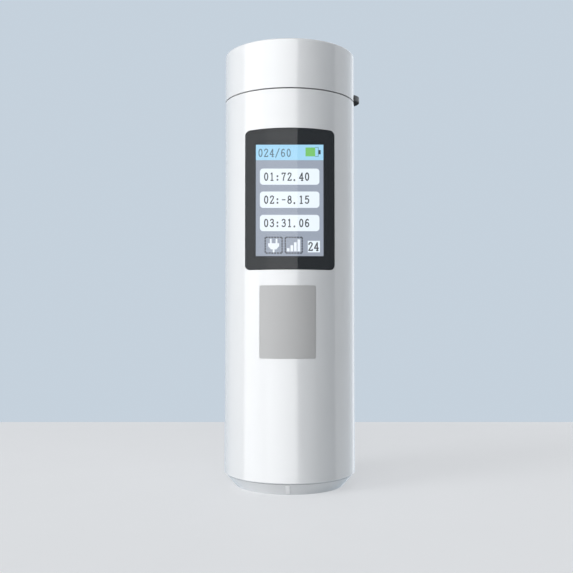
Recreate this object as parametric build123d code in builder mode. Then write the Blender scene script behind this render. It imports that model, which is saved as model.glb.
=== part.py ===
"""Upright cylindrical contact colorimeter with a curved display window. Millimetres, +Z up.

The origin is on the body's axis at the plane of the measuring ring's foot. The display faces -Y.
"""

import os
from math import asin, cos, radians, sin, sqrt

from build123d import *

os.makedirs("parts", exist_ok=True)

# Outer body
body_radius = 15.5
body_height = 102.0
sleeve_bottom = 2.8
cap_height = 11.3
seam_height = body_height - cap_height
wall = 1.4
inner_radius = body_radius - wall
top_wall = 2.0
top_edge_radius = 0.45
foot_edge = 0.25
seam_gap = 0.3
seam_depth = 0.55
slip_gap = 0.05
assembly_gap = 0.1
overcut = 1.0

# Lip that centres the cap in the sleeve
lip_thickness = 0.65
lip_radius = inner_radius + lip_thickness
lip_length = 1.2

# Inner rib of the sleeve, which rests on the measuring ring
rib_depth = 0.9
rib_inner_radius = inner_radius - rib_depth
rib_height = 1.4

# Measuring ring
ring_radius = inner_radius - slip_gap
ring_foot_inset = 1.25
ring_foot_radius = ring_radius - ring_foot_inset
ring_rim_inset = 0.35
ring_rim_radius = body_radius - ring_rim_inset
ring_rim_gap = 0.1
ring_rim_height = sleeve_bottom - ring_rim_gap
ring_cone_slope = (ring_rim_radius - ring_foot_radius) / ring_rim_height
ring_top = 9.0
ring_wall = 1.45
ring_bore_radius = ring_radius - ring_wall
ring_floor = 2.6
port_radius = 4.0
port_depth = 1.0
glass_radius = 5.9
glass_thickness = 1.0
glass_edge = 0.1
index_rib_angles = (88, 178, 268, 358)
index_rib_span = 3.8
index_rib_rise = 0.12
index_rib_sink = 0.3
index_rib_margin = 0.25
seal_height = 6.0
seal_section_radius = 0.45
seal_groove_width = 1.2
seal_groove_depth = 0.95
seal_groove_floor = ring_radius - seal_groove_depth

# Display window and display
window_drop = 24.77
window_middle = seam_height - window_drop
window_width = 20.3
window_height = 31.65
window_corner = 1.15
window_gap = 0.06
window_thickness = 0.8
window_inner_radius = body_radius - window_thickness
window_edge_radius = 0.18
mask_thickness = 0.08
recess_radius = window_inner_radius - mask_thickness
mask_opening_width = 16.2
mask_opening_height = 26.4
panel_thickness = 0.7
backlight_thickness = 0.8
display_width = 16.6
display_height = 29.9
display_corner = 0.5
pane_clearance = 0.11
display_front = sqrt((recess_radius - pane_clearance) ** 2 - (display_width / 2) ** 2)
cutout_gap = 0.2
display_back = display_front - panel_thickness - backlight_thickness
display_frame_depth = 1.4
display_frame_width = 20.0
display_frame_height = 32.6
display_frame_window_width = 13.6
display_frame_window_height = 26.0

# Front label
label_width = 12.5
label_height = 16.2
label_drop = 27.43
label_middle = window_middle - label_drop
label_offset = -0.49
label_thickness = 0.15
label_gap = 0.05
label_corner = 0.3

# Optics
block_radius = ring_bore_radius - assembly_gap
block_wall = 0.6
block_inner_radius = block_radius - block_wall
block_top = 20.0
nose_bore_radius = 5.0
cone_top = 8.4
shelf_width = 0.6
shelf_radius = block_inner_radius - shelf_width
shelf_height = 10.2
led_board_radius = block_inner_radius - assembly_gap
led_board_thickness = 0.8
led_board_bore = 3.5
led_count = 6
led_edge_distance = 2.8
led_circle_radius = led_board_radius - led_edge_distance
led_size = 2.8
led_height = 1.2
led_lens_radius = 0.93
led_lens_depth = 0.3
tube_radius = 3.3
tube_bore = 2.55
tube_bottom = 6.0
tube_lip_radius = 2.0
tube_lip_height = 1.0
tube_flange_radius = 6.0
tube_flange_thickness = 1.0
tube_top = 16.2
lens_radius = 2.5
lens_edge = 0.6
lens_dome = 0.8
board_thickness = 0.8
sensor_size = 3.0
sensor_height = 0.9

# Screws
screw_socket_radius = 0.55
screw_socket_depth = 0.7
foot_screw_angles = (90, 210, 330)
foot_screw_inset = 2.0
foot_screw_circle_radius = block_radius - foot_screw_inset
foot_screw_recess = 0.15
foot_screw_length = 5.45
foot_head_radius = 1.9
foot_head_height = 1.0
foot_shank_radius = 0.95
thread_gap = 0.05
hole_gap = 0.15
boss_radius = 1.8
boss_bottom = 12.0
sensor_board_gap = 0.8
sensor_board_radius = foot_screw_circle_radius - boss_radius - sensor_board_gap
chassis_screw_length = 6.0
cap_screw_offset = 9.2
cap_screw_length = 7.0

# Chassis
chassis_gap = 0.2
chassis_radius = inner_radius - chassis_gap
chassis_floor = 20.0
chassis_floor_thickness = 2.0
chassis_roof_drop = 2.7
chassis_roof = seam_height - chassis_roof_drop
chassis_roof_thickness = 1.4
plate_width = 23.0
plate_thickness = 1.2
post_radius = 2.0
tray_wall = 1.2
tray_depth = 5.4
tray_lip = 1.6
tray_lip_width = 10.0

# Main board and what is on it
main_board_gap = 2.0
main_board_bottom = chassis_floor + chassis_floor_thickness + main_board_gap
main_board_top = chassis_roof - main_board_gap
main_board_thickness = 1.0
main_board_clearance = 2.4
standoff = 2.0
standoff_radius = 1.6
board_screw_radius = 0.7
board_screw_head_radius = 1.4
board_screw_head_height = 0.8
board_screw_length = 3.0
main_board_front = display_frame_depth + main_board_clearance - display_back
main_board_back = main_board_front + main_board_thickness
plate_front = main_board_back + standoff
main_board_side_gap = 1.46
main_board_width = 2 * (sqrt(inner_radius**2 - main_board_front**2) - main_board_side_gap)
board_screw_side_inset = 2.2
board_screw_foot_inset = 6.0
board_screw_head_inset = 4.0
board_screw_side = main_board_width / 2 - board_screw_side_inset
board_screw_columns = (-board_screw_side, board_screw_side)
board_screw_rows = (
    main_board_bottom + board_screw_foot_inset,
    main_board_top - board_screw_head_inset,
)
processor_size = 7.0
processor_height = 1.0
processor_edge = 0.1
processor_rise = 10.1
processor_middle = window_middle + processor_rise
radio_width = 12.0
radio_height = 15.0
radio_depth = 1.6
radio_corner = 0.5
radio_drop = 1.9
radio_middle = window_middle - radio_drop
connector_width = 9.0
connector_height = 3.0
connector_depth = 1.2
display_connector_drop = 18.4
display_connector_middle = window_middle - display_connector_drop
optics_connector_rise = 3.5
optics_connector_middle = main_board_bottom + optics_connector_rise
flex_width = 7.0
flex_thickness = 0.2
flex_slot_gap = 0.4
flex_slot_depth = 2.4
flex_bend = 0.8
flex_bond_drop = 2.9
flex_bond_length = 6.0
flex_reach = 2.5
optics_flex_start = 1.5
battery_connector_width = 5.0
battery_connector_height = 3.4
battery_connector_depth = 1.6
battery_connector_drop = 6.5
battery_connector_middle = main_board_top - battery_connector_drop
lead_hole_width = 6.4
lead_hole_height = 5.0

# Battery
battery_width = 20.0
battery_thickness = 7.0
battery_rise = 6.0
battery_bottom = chassis_floor + chassis_floor_thickness + battery_rise
battery_lead_rise = 7.5
battery_height = battery_connector_middle - battery_lead_rise - battery_bottom
battery_corner = 1.2
pad_thickness = 0.4
pad_side_inset = 3.0
pad_end_inset = 4.0
pad_width = battery_width - 2 * pad_side_inset
pad_height = battery_height - 2 * pad_end_inset
lead_radius = 0.45
lead_spacing = 1.8
lead_bend = 1.5

# Top board, link and charging socket
top_board_inset = 0.3
top_board_radius = chassis_radius - top_board_inset
link_width = 6.0
link_depth = 2.0
link_overlap = 2.5
link_bottom = main_board_top - link_overlap
link_middle = main_board_front - link_depth / 2
link_screw_distance = 2.8
link_across = link_screw_distance - board_screw_side
link_gap = 0.4
socket_width = 8.94
socket_depth = 3.26
socket_corner = 1.3
socket_wall = 0.3
socket_recess = 0.6
socket_top = body_height - socket_recess
socket_mouth_depth = 6.4
socket_floor = socket_top - socket_mouth_depth
socket_mouth_gap = 0.2
tongue_width = 6.6
tongue_depth = 0.7
tongue_recess = 0.7
tongue_top = socket_top - tongue_recess

# Three-way key at the side
key_azimuth = 7.7
key_pivot_inset = 2.05
key_pivot_radius = body_radius - key_pivot_inset
key_disc_radius = 3.65
key_rise = 0.8
key_bottom = seam_height + key_rise
key_thickness = 1.5
key_edge = 0.15
key_sector_angle = 76.0
key_hub_radius = 1.35
key_pin_radius = 0.5
key_pin_gap = 0.05
key_rib_count = 19
key_rib_pitch = 7.6
key_rib_radius = 0.16
key_tail_width = 0.9
key_tail_length = 2.4
key_slot_width = 7.9
key_slot_gap = 0.2
key_relief_wall = 0.95
key_relief_radius = body_radius - key_relief_wall
key_relief_width = 8.4
key_relief_depth = 2.2
slider_width = 5.0
slider_back = 4.9
slider_front = 0.6
slider_shoulder = 1.3
slider_tongue_width = 1.2
slider_plate_thickness = 0.5
slider_wall_thickness = 0.8
slider_wall_drop = 0.1
slider_wall_top = key_bottom + key_thickness - slider_wall_drop
slider_gap = 0.12
housing_wall = 0.8
housing_floor = 0.3
housing_back = 7.0
housing_front = 1.1
key_cover_thickness = 0.3
key_cover_gap = 0.15
spring_wire_radius = 0.12
return_spring_radius = 0.6
return_spring_turns = 3
centring_spring_width = 1.25
centring_spring_front = 1.75
centring_spring_back = 3.75
centring_post_radius = 0.35

chassis_roof_top = chassis_roof + chassis_roof_thickness
top_board_top = chassis_roof_top + board_thickness
main_board_middle = (main_board_bottom + main_board_top) / 2
main_board_height = main_board_top - main_board_bottom
chassis_floor_top = chassis_floor + chassis_floor_thickness
plate_back = plate_front + plate_thickness
battery_front = plate_back + pad_thickness
battery_middle = battery_bottom + battery_height / 2
cap_underside = body_height - top_wall
post_top = cap_underside
key_top = key_bottom + key_thickness
LOW = (Align.CENTER, Align.CENTER, Align.MIN)
HIGH = (Align.CENTER, Align.CENTER, Align.MAX)
FORWARD = (Align.CENTER, Align.MAX, Align.CENTER)
BACKWARD = (Align.CENTER, Align.MIN, Align.CENTER)
pivot_plane = Plane(
    origin=(
        key_pivot_radius * cos(radians(key_azimuth)),
        key_pivot_radius * sin(radians(key_azimuth)),
        0,
    ),
    x_dir=(cos(radians(key_azimuth)), sin(radians(key_azimuth)), 0),
    z_dir=(0, 0, 1),
)


def write(part, name):
    """Label a finished piece and write its file."""
    part.label = name
    export_step(part, f"parts/{name}.step")


def tube(outer, inner, bottom, top, mode=Mode.ADD):
    """Add or cut a plain ring about the body's axis."""
    with BuildSketch(Plane.XY.offset(bottom)) as section:
        Circle(outer)
        if inner > 0:
            Circle(inner, mode=Mode.SUBTRACT)
    extrude(section.sketch, amount=top - bottom, mode=mode)


def front_plate(width, height, corner, middle, depth_range, mode, across=0.0):
    """Extrude a rounded rectangle along Y, between two distances in front of the axis."""
    near, far = depth_range
    with BuildSketch(Plane.XZ.offset(near)) as outline:
        with Locations((across, middle)):
            RectangleRounded(width, height, corner)
    extrude(outline.sketch, amount=far - near, mode=mode)


def radial_plane(angle):
    """The upright plane through the body's axis at one angle."""
    return Plane(
        origin=(0, 0, 0),
        x_dir=(cos(radians(angle)), sin(radians(angle)), 0),
        z_dir=(sin(radians(angle)), -cos(radians(angle)), 0),
    )


def polar_spots(circle, angles, height):
    """Points on a circle about the axis at one height."""
    return [
        (circle * cos(radians(angle)), circle * sin(radians(angle)), height)
        for angle in angles
    ]


# Recesses for the window and the label
with BuildPart() as window_recess:
    tube(
        body_radius + overcut,
        recess_radius,
        window_middle - window_height,
        window_middle + window_height,
    )
    front_plate(
        window_width,
        window_height,
        window_corner,
        window_middle,
        (0, body_radius + overcut),
        Mode.INTERSECT,
    )

with BuildPart() as label_recess:
    tube(
        body_radius + overcut,
        body_radius - label_thickness,
        label_middle - label_height,
        label_middle + label_height,
    )
    front_plate(
        label_width + 2 * label_gap,
        label_height + 2 * label_gap,
        label_corner,
        label_middle,
        (0, body_radius + overcut),
        Mode.INTERSECT,
        label_offset,
    )

# Body sleeve
with BuildPart() as body_sleeve:
    with BuildSketch(Plane.XZ):
        with BuildLine():
            Polyline(
                (body_radius - foot_edge, sleeve_bottom),
                (body_radius, sleeve_bottom + foot_edge),
                (body_radius, seam_height - seam_gap / 2),
                (body_radius - seam_depth, seam_height - seam_gap / 2),
                (body_radius - seam_depth, seam_height),
                (lip_radius + slip_gap, seam_height),
                (lip_radius + slip_gap, seam_height - lip_length - assembly_gap),
                (inner_radius, seam_height - lip_length - assembly_gap),
                (inner_radius, ring_top + rib_height + wall),
                (rib_inner_radius, ring_top + rib_height),
                (rib_inner_radius, ring_top),
                (inner_radius, ring_top),
                (inner_radius, sleeve_bottom),
                close=True,
            )
        make_face()
    revolve(axis=Axis.Z)
    front_plate(
        display_width + 2 * cutout_gap,
        display_height + 2 * cutout_gap,
        display_corner,
        window_middle,
        (display_back - overcut, body_radius + overcut),
        Mode.SUBTRACT,
    )
    add(window_recess.part, mode=Mode.SUBTRACT)
    add(label_recess.part, mode=Mode.SUBTRACT)
write(body_sleeve.part, "body_sleeve")

# Relief behind the key's slot
with BuildPart() as key_relief:
    tube(
        key_relief_radius,
        0,
        seam_height - lip_length - overcut,
        key_top + 2 * key_slot_gap + key_cover_thickness,
    )
    with BuildSketch(pivot_plane.offset(seam_height - lip_length - overcut)):
        Rectangle(
            key_relief_depth,
            key_relief_width,
            align=(Align.CENTER, Align.CENTER),
        )
    extrude(amount=body_height - seam_height, mode=Mode.INTERSECT)

# Top cap
with BuildPart() as top_cap:
    with BuildSketch(Plane.XZ):
        with BuildLine():
            Polyline(
                (0, body_height),
                (body_radius, body_height),
                (body_radius, seam_height + seam_gap / 2),
                (body_radius - seam_depth, seam_height + seam_gap / 2),
                (body_radius - seam_depth, seam_height),
                (lip_radius, seam_height),
                (lip_radius, seam_height - lip_length),
                (inner_radius, seam_height - lip_length),
                (inner_radius, cap_underside),
                (0, cap_underside),
                close=True,
            )
        make_face()
    revolve(axis=Axis.Z)
    fillet(
        top_cap.edges().filter_by(GeomType.CIRCLE).group_by(Axis.Z)[-1],
        top_edge_radius,
    )
    with BuildSketch(Plane.XY.offset(cap_underside - overcut)):
        RectangleRounded(
            socket_width + 2 * socket_mouth_gap,
            socket_depth + 2 * socket_mouth_gap,
            socket_corner + socket_mouth_gap,
        )
    extrude(amount=top_wall + 2 * overcut, mode=Mode.SUBTRACT)
    for side in (-1, 1):
        with Locations((0, side * cap_screw_offset, cap_underside - overcut)):
            Cylinder(
                foot_shank_radius + hole_gap,
                top_wall + 2 * overcut,
                align=LOW,
                mode=Mode.SUBTRACT,
            )
        with Locations((0, side * cap_screw_offset, body_height)):
            Cylinder(
                foot_head_radius + hole_gap,
                foot_screw_recess,
                align=HIGH,
                mode=Mode.SUBTRACT,
            )
        with Locations((0, side * cap_screw_offset, body_height - foot_screw_recess)):
            Cone(
                foot_shank_radius + hole_gap,
                foot_head_radius + hole_gap,
                foot_head_height,
                align=HIGH,
                mode=Mode.SUBTRACT,
            )
    with BuildSketch(pivot_plane.offset(key_bottom - key_slot_gap)):
        Rectangle(
            key_disc_radius + overcut,
            key_slot_width,
            align=(Align.MIN, Align.CENTER),
        )
    extrude(amount=key_thickness + 2 * key_slot_gap, mode=Mode.SUBTRACT)
    add(key_relief.part, mode=Mode.SUBTRACT)
write(top_cap.part, "top_cap")


def countersunk_screws(spots, length, head_down):
    """Countersunk screws with a hexagon socket, heads at the given spots."""
    turn = (0, 0, 0) if head_down else (180, 0, 0)
    for spot in spots:
        with Locations(Location(spot, turn)):
            Cone(foot_head_radius, foot_shank_radius, foot_head_height, align=LOW)
            Cylinder(foot_shank_radius, length, align=LOW)
        with BuildSketch(Plane(Location(spot, turn))) as socket:
            RegularPolygon(screw_socket_radius, 6, major_radius=False)
        extrude(socket.sketch, amount=screw_socket_depth, mode=Mode.SUBTRACT)


# Cap screws
cap_head_height = body_height - foot_screw_recess
with BuildPart() as cap_screws:
    countersunk_screws(
        [
            (0, -cap_screw_offset, cap_head_height),
            (0, cap_screw_offset, cap_head_height),
        ],
        cap_screw_length,
        False,
    )
write(cap_screws.part, "cap_screws")

# Measuring ring
with BuildPart() as measuring_ring:
    with BuildSketch(Plane.XZ):
        with BuildLine():
            Polyline(
                (ring_foot_radius, 0),
                (ring_rim_radius, ring_rim_height),
                (ring_radius, ring_rim_height),
                (ring_radius, seal_height - seal_groove_width / 2),
                (seal_groove_floor, seal_height - seal_groove_width / 2),
                (seal_groove_floor, seal_height + seal_groove_width / 2),
                (ring_radius, seal_height + seal_groove_width / 2),
                (ring_radius, ring_top),
                (ring_bore_radius, ring_top),
                (ring_bore_radius, ring_floor),
                (glass_radius + slip_gap, ring_floor),
                (glass_radius + slip_gap, port_depth),
                (port_radius, port_depth),
                (port_radius, 0),
                close=True,
            )
        make_face()
    revolve(axis=Axis.Z)
    rib_top = ring_rim_height - index_rib_margin
    rib_foot_radius = ring_foot_radius + ring_cone_slope * index_rib_margin
    rib_top_radius = ring_foot_radius + ring_cone_slope * rib_top
    for angle in index_rib_angles:
        with BuildSketch(radial_plane(angle - index_rib_span / 2)) as rib_section:
            with BuildLine():
                Polyline(
                    (rib_foot_radius - index_rib_sink, index_rib_margin),
                    (rib_foot_radius + index_rib_rise, index_rib_margin),
                    (rib_top_radius + index_rib_rise, rib_top),
                    (rib_top_radius - index_rib_sink, rib_top),
                    close=True,
                )
            make_face()
        revolve(rib_section.sketch, axis=Axis.Z, revolution_arc=index_rib_span)
    for spot in polar_spots(foot_screw_circle_radius, foot_screw_angles, 0):
        with Locations(spot):
            Cylinder(
                foot_shank_radius + hole_gap, ring_floor, align=LOW, mode=Mode.SUBTRACT
            )
            Cylinder(
                foot_head_radius + hole_gap,
                foot_screw_recess,
                align=LOW,
                mode=Mode.SUBTRACT,
            )
    for spot in polar_spots(foot_screw_circle_radius, foot_screw_angles, foot_screw_recess):
        with Locations(spot):
            Cone(
                foot_head_radius + hole_gap,
                foot_shank_radius + hole_gap,
                foot_head_height,
                align=LOW,
                mode=Mode.SUBTRACT,
            )
write(measuring_ring.part, "measuring_ring")

with BuildPart() as ring_seal:
    with BuildSketch(Plane.XZ):
        with Locations((inner_radius - slip_gap - seal_section_radius, seal_height)):
            Circle(seal_section_radius)
    revolve(axis=Axis.Z)
write(ring_seal.part, "ring_seal")

with BuildPart() as ring_screws:
    countersunk_screws(
        polar_spots(foot_screw_circle_radius, foot_screw_angles, foot_screw_recess),
        foot_screw_length,
        True,
    )
write(ring_screws.part, "ring_screws")

with BuildPart() as port_glass:
    with Locations((0, 0, port_depth)):
        Cylinder(glass_radius, glass_thickness, align=LOW)
    chamfer(port_glass.edges().filter_by(GeomType.CIRCLE), glass_edge)
write(port_glass.part, "port_glass")

# Display window
with BuildPart() as display_window:
    tube(
        body_radius,
        window_inner_radius,
        window_middle - window_height,
        window_middle + window_height,
    )
    front_plate(
        window_width - 2 * window_gap,
        window_height - 2 * window_gap,
        window_corner - window_gap,
        window_middle,
        (0, body_radius + overcut),
        Mode.INTERSECT,
    )
    outer_face = (
        display_window.faces().filter_by(GeomType.CYLINDER).sort_by(SortBy.AREA)[-1]
    )
    fillet(outer_face.edges(), window_edge_radius)
write(display_window.part, "display_window")

with BuildPart() as window_mask:
    tube(
        window_inner_radius,
        recess_radius,
        window_middle - window_height,
        window_middle + window_height,
    )
    front_plate(
        window_width - 4 * window_gap,
        window_height - 4 * window_gap,
        window_corner - 2 * window_gap,
        window_middle,
        (0, body_radius + overcut),
        Mode.INTERSECT,
    )
    front_plate(
        mask_opening_width,
        mask_opening_height,
        display_corner,
        window_middle,
        (0, body_radius + overcut),
        Mode.SUBTRACT,
    )
write(window_mask.part, "window_mask")

with BuildPart() as display_panel:
    front_plate(
        display_width,
        display_height,
        display_corner,
        window_middle,
        (display_front - panel_thickness, display_front),
        Mode.ADD,
    )
write(display_panel.part, "display_panel")

with BuildPart() as display_backlight:
    front_plate(
        display_width,
        display_height,
        display_corner,
        window_middle,
        (display_back, display_front - panel_thickness),
        Mode.ADD,
    )
write(display_backlight.part, "display_backlight")

with BuildPart() as display_frame:
    tube(
        inner_radius - slip_gap,
        0,
        window_middle - display_frame_height,
        window_middle + display_frame_height,
    )
    front_plate(
        display_frame_width,
        display_frame_height,
        window_corner,
        window_middle,
        (display_back - display_frame_depth, display_back),
        Mode.INTERSECT,
    )
    front_plate(
        display_frame_window_width,
        display_frame_window_height,
        window_corner,
        window_middle,
        (0, body_radius),
        Mode.SUBTRACT,
    )
write(display_frame.part, "display_frame")


def flex_strip(points, bend):
    """A thin strip of flexible circuit, drawn from the side and extruded across."""
    with BuildSketch(Plane.YZ) as strip:
        with BuildLine():
            FilletPolyline(*points, radius=bend)
        trace(line_width=flex_thickness)
    extrude(strip.sketch, amount=flex_width / 2, both=True)


connector_face = main_board_front - connector_depth / 2
flex_bond_top = window_middle - flex_bond_drop
flex_bond_foot = flex_bond_top - flex_bond_length
with BuildPart() as display_flex:
    flex_strip(
        [
            (-display_back + flex_thickness / 2, flex_bond_top),
            (-display_back + flex_thickness / 2, flex_bond_foot),
            (connector_face, flex_bond_foot - flex_reach),
            (connector_face, display_connector_middle + connector_height / 2),
        ],
        flex_bend,
    )
write(display_flex.part, "display_flex")

# Front label
with BuildPart() as front_label:
    tube(
        body_radius,
        body_radius - label_thickness,
        label_middle - label_height,
        label_middle + label_height,
    )
    front_plate(
        label_width,
        label_height,
        label_corner,
        label_middle,
        (0, body_radius + overcut),
        Mode.INTERSECT,
        label_offset,
    )
write(front_label.part, "front_label")

# Optics block
with BuildPart() as optics_block:
    with BuildSketch(Plane.XZ):
        with BuildLine():
            Polyline(
                (nose_bore_radius, port_depth + glass_thickness),
                (glass_radius, port_depth + glass_thickness),
                (glass_radius, ring_floor),
                (block_radius, ring_floor),
                (block_radius, block_top),
                (block_inner_radius, block_top),
                (block_inner_radius, shelf_height),
                (shelf_radius, shelf_height),
                (shelf_radius, cone_top),
                close=True,
            )
        make_face()
    revolve(axis=Axis.Z)
    for spot in polar_spots(foot_screw_circle_radius, foot_screw_angles, boss_bottom):
        with Locations(spot):
            Cylinder(boss_radius, block_top - boss_bottom, align=LOW)
    for spot in polar_spots(foot_screw_circle_radius, foot_screw_angles, block_top):
        with Locations(spot):
            Cylinder(
                foot_shank_radius + thread_gap,
                chassis_screw_length,
                align=HIGH,
                mode=Mode.SUBTRACT,
            )
    for spot in polar_spots(foot_screw_circle_radius, foot_screw_angles, ring_floor):
        with Locations(spot):
            Cylinder(
                foot_shank_radius + thread_gap,
                foot_screw_length + foot_screw_recess - ring_floor + assembly_gap,
                align=LOW,
                mode=Mode.SUBTRACT,
            )
write(optics_block.part, "optics_block")

with BuildPart() as led_board:
    tube(
        led_board_radius,
        led_board_bore,
        shelf_height,
        shelf_height + led_board_thickness,
    )
write(led_board.part, "led_board")

with BuildPart() as measuring_leds:
    with Locations((0, 0, shelf_height)):
        with PolarLocations(led_circle_radius, led_count):
            Box(led_size, led_size, led_height, align=HIGH)
    for spot in polar_spots(
        led_circle_radius, range(0, 360, 360 // led_count), shelf_height - led_height
    ):
        with Locations(spot):
            Cylinder(led_lens_radius, led_lens_depth, align=LOW, mode=Mode.SUBTRACT)
write(measuring_leds.part, "measuring_leds")

flange_bottom = shelf_height + led_board_thickness
with BuildPart() as detector_tube:
    tube(tube_radius, tube_bore, tube_bottom, tube_top)
    tube(tube_radius, tube_lip_radius, tube_bottom, tube_bottom + tube_lip_height)
    tube(
        tube_flange_radius,
        tube_bore,
        flange_bottom,
        flange_bottom + tube_flange_thickness,
    )
write(detector_tube.part, "detector_tube")

lens_bottom = tube_bottom + tube_lip_height
dome_radius = (lens_radius**2 + lens_dome**2) / (2 * lens_dome)
dome_centre = lens_bottom + lens_edge + lens_dome - dome_radius
dome_half_angle = asin(lens_radius / dome_radius) / 2
with BuildPart() as collecting_lens:
    with BuildSketch(Plane.XZ):
        with BuildLine():
            Polyline(
                (0, lens_bottom + lens_edge + lens_dome),
                (0, lens_bottom),
                (lens_radius, lens_bottom),
                (lens_radius, lens_bottom + lens_edge),
            )
            ThreePointArc(
                (lens_radius, lens_bottom + lens_edge),
                (
                    dome_radius * sin(dome_half_angle),
                    dome_centre + dome_radius * cos(dome_half_angle),
                ),
                (0, lens_bottom + lens_edge + lens_dome),
            )
        make_face()
    revolve(axis=Axis.Z)
write(collecting_lens.part, "collecting_lens")

with BuildPart() as sensor_board:
    with Locations((0, 0, tube_top)):
        Cylinder(sensor_board_radius, board_thickness, align=LOW)
write(sensor_board.part, "sensor_board")

with BuildPart() as colour_sensor:
    with Locations((0, 0, tube_top)):
        Box(sensor_size, sensor_size, sensor_height, align=HIGH)
write(colour_sensor.part, "colour_sensor")

with BuildPart() as optics_flex:
    flex_strip(
        [
            (-optics_flex_start, tube_top + board_thickness + flex_thickness / 2),
            (connector_face, tube_top + board_thickness + flex_thickness / 2),
            (connector_face, optics_connector_middle - connector_height / 2),
        ],
        flex_bend,
    )
write(optics_flex.part, "optics_flex")

# Chassis
with BuildPart() as inner_chassis:
    tube(chassis_radius, 0, chassis_floor, chassis_floor_top)
    tube(chassis_radius, 0, chassis_roof, chassis_roof_top)
    with Locations((0, plate_front, chassis_floor)):
        Box(
            plate_width,
            plate_thickness,
            chassis_roof_top - chassis_floor,
            align=(Align.CENTER, Align.MIN, Align.MIN),
        )
    for side in (-1, 1):
        with Locations(
            (
                side * (battery_width / 2 + assembly_gap + tray_wall / 2),
                plate_front,
                battery_middle,
            )
        ):
            Box(tray_wall, tray_depth, battery_height, align=BACKWARD)
        with Locations((0, side * cap_screw_offset, chassis_roof)):
            Cylinder(post_radius, post_top - chassis_roof, align=LOW)
        with Locations((0, side * cap_screw_offset, post_top)):
            Cylinder(
                foot_shank_radius + thread_gap,
                cap_screw_length,
                align=HIGH,
                mode=Mode.SUBTRACT,
            )
        with Locations(
            (
                0,
                plate_back,
                battery_middle + side * (battery_height / 2 + tray_wall),
            )
        ):
            Box(
                tray_lip_width,
                tray_lip,
                tray_wall,
                align=BACKWARD,
            )
    for column in board_screw_columns:
        for row in board_screw_rows:
            with Locations(
                Location((column, main_board_back, row), (-90, 0, 0))
            ):
                Cylinder(standoff_radius, standoff, align=LOW)
            with Locations(
                Location((column, main_board_back, row), (-90, 0, 0))
            ):
                Cylinder(
                    board_screw_radius + thread_gap,
                    standoff + plate_thickness / 2,
                    align=LOW,
                    mode=Mode.SUBTRACT,
                )
    with Locations((0, plate_front, battery_connector_middle)):
        Box(
            lead_hole_width,
            plate_thickness + 2 * overcut,
            lead_hole_height,
            mode=Mode.SUBTRACT,
        )
    with Locations((0, connector_face, chassis_floor)):
        Box(
            flex_width + 2 * flex_slot_gap,
            flex_slot_depth,
            chassis_floor_thickness,
            align=LOW,
            mode=Mode.SUBTRACT,
        )
    with Locations((link_across, link_middle, chassis_roof)):
        Box(
            link_width + 2 * link_gap,
            link_depth + 2 * link_gap,
            chassis_roof_thickness,
            align=LOW,
            mode=Mode.SUBTRACT,
        )
    for spot in polar_spots(foot_screw_circle_radius, foot_screw_angles, chassis_floor):
        with Locations(spot):
            Cylinder(
                foot_shank_radius + hole_gap,
                chassis_floor_thickness,
                align=LOW,
                mode=Mode.SUBTRACT,
            )
    for spot in polar_spots(foot_screw_circle_radius, foot_screw_angles, chassis_floor_top):
        with Locations(spot):
            Cone(
                foot_shank_radius + hole_gap,
                foot_head_radius + hole_gap,
                foot_head_height,
                align=HIGH,
                mode=Mode.SUBTRACT,
            )
write(inner_chassis.part, "inner_chassis")

with BuildPart() as chassis_screws:
    countersunk_screws(
        polar_spots(foot_screw_circle_radius, foot_screw_angles, chassis_floor_top),
        chassis_screw_length,
        False,
    )
write(chassis_screws.part, "chassis_screws")

# Main board
with BuildPart() as main_board:
    front_plate(
        main_board_width,
        main_board_height,
        window_corner,
        main_board_middle,
        (-main_board_back, -main_board_front),
        Mode.ADD,
    )
    for column in board_screw_columns:
        for row in board_screw_rows:
            with Locations(
                Location((column, main_board_front, row), (-90, 0, 0))
            ):
                Cylinder(
                    board_screw_radius + hole_gap,
                    main_board_thickness,
                    align=LOW,
                    mode=Mode.SUBTRACT,
                )
write(main_board.part, "main_board")

with BuildPart() as board_screws:
    for column in board_screw_columns:
        for row in board_screw_rows:
            with Locations(
                Location((column, main_board_front, row), (-90, 0, 0))
            ):
                Cylinder(board_screw_head_radius, board_screw_head_height, align=HIGH)
                Cylinder(board_screw_radius, board_screw_length, align=LOW)
write(board_screws.part, "board_screws")


def front_block(width, depth, height, middle, across=0.0):
    """A block standing on the front of the main board."""
    with Locations((across, main_board_front, middle)):
        Box(width, depth, height, align=FORWARD)


with BuildPart() as processor:
    front_block(processor_size, processor_height, processor_size, processor_middle)
    chamfer(processor.faces().sort_by(Axis.Y)[0].edges(), processor_edge)
write(processor.part, "processor")

with BuildPart() as radio_module:
    front_block(radio_width, radio_depth, radio_height, radio_middle)
    fillet(radio_module.edges().filter_by(Axis.Y), radio_corner)
write(radio_module.part, "radio_module")

with BuildPart() as flex_connectors:
    for height in (display_connector_middle, optics_connector_middle):
        front_block(connector_width, connector_depth, connector_height, height)
write(flex_connectors.part, "flex_connectors")

with BuildPart() as battery_connector:
    with Locations((0, main_board_back, battery_connector_middle)):
        Box(
            battery_connector_width,
            battery_connector_depth,
            battery_connector_height,
            align=BACKWARD,
        )
write(battery_connector.part, "battery_connector")

# Battery
with BuildPart() as battery_cell:
    with Locations((0, battery_front, battery_middle)):
        Box(battery_width, battery_thickness, battery_height, align=BACKWARD)
    fillet(battery_cell.edges().filter_by(Axis.Z), battery_corner)
write(battery_cell.part, "battery_cell")

with BuildPart() as battery_pad:
    with Locations((0, plate_back, battery_middle)):
        Box(pad_width, pad_thickness, pad_height, align=BACKWARD)
write(battery_pad.part, "battery_pad")

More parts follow.
